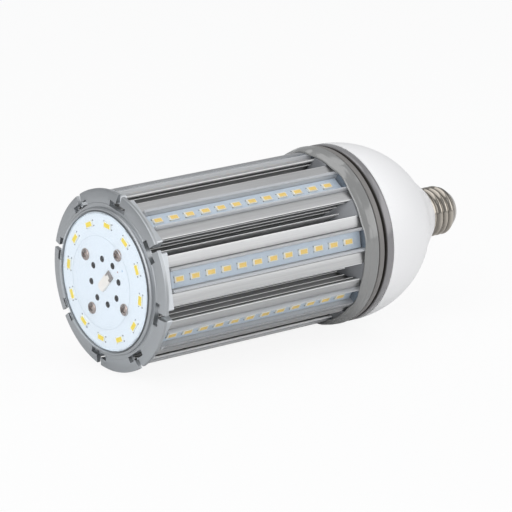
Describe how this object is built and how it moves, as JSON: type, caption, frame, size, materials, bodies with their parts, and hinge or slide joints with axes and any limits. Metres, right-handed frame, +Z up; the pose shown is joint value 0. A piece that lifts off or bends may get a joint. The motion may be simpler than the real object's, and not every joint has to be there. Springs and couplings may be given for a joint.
{
  "type": "corn led bulb",
  "caption": "Corn style LED lamp: ridged aluminium heat sink with lit strips on every side, a lit end disc, a white driver housing and an Edison screw base.",
  "frame": {"origin": "on the lamp's axis at the front end of the screw shell, where the lamp is held by its lampholder", "axes": "+X along the lamp's axis from the lit end toward the screw base's contact, +Z up as the lamp is shown lying, +Y to its side"},
  "size_m": [0.2314, 0.0928, 0.0928],
  "materials": {
    "extrusion": "satin anodised",
    "strip_board": "white solder mask",
    "led": "yellow phosphor in a white frame",
    "clear_cover": "clear plastic",
    "end_cap": "satin grey",
    "end_board": "white solder mask",
    "connector": "moulded",
    "screw": "plain",
    "clear_lens": "clear plastic",
    "gasket": "matt",
    "collar": "glossy grey",
    "seal_ring": "satin",
    "spacer": "matt",
    "flange_ring": "glossy grey",
    "housing": "moulded white",
    "driver_board": "green solder mask",
    "transformer": "ferrite and tape",
    "capacitor": "sleeved can",
    "inductor": "ferrite",
    "screw_shell": "nickel plated",
    "insulator": "vitrified black",
    "contact": "nickel plated"
  },
  "bodies": {
    "root": {"heatsink": "extrusion", "strip_board_1": "strip_board", "strip_leds_1": "led", "strip_cover_1": "clear_cover", "strip_board_2": "strip_board", "strip_leds_2": "led", "strip_cover_2": "clear_cover", "strip_board_3": "strip_board", "strip_leds_3": "led", "strip_cover_3": "clear_cover", "strip_board_4": "strip_board", "strip_leds_4": "led", "strip_cover_4": "clear_cover", "strip_board_5": "strip_board", "strip_leds_5": "led", "strip_cover_5": "clear_cover", "strip_board_6": "strip_board", "strip_leds_6": "led", "strip_cover_6": "clear_cover", "strip_board_7": "strip_board", "strip_leds_7": "led", "strip_cover_7": "clear_cover", "strip_board_8": "strip_board", "strip_leds_8": "led", "strip_cover_8": "clear_cover", "end_cap": "end_cap", "end_board": "end_board", "end_leds": "led", "end_connector": "connector", "end_screws": "screw", "end_lens": "clear_lens", "lens_gasket": "gasket", "collar": "collar", "seal_ring": "seal_ring", "spacer_ring": "spacer", "flange_ring": "flange_ring", "ring_screws": "screw", "driver_housing": "housing", "driver_board": "driver_board", "transformer": "transformer", "capacitors": "capacitor", "inductor": "inductor", "screw_shell": "screw_shell", "base_insulator": "insulator", "centre_contact": "contact"}
  },
  "joints": []
}
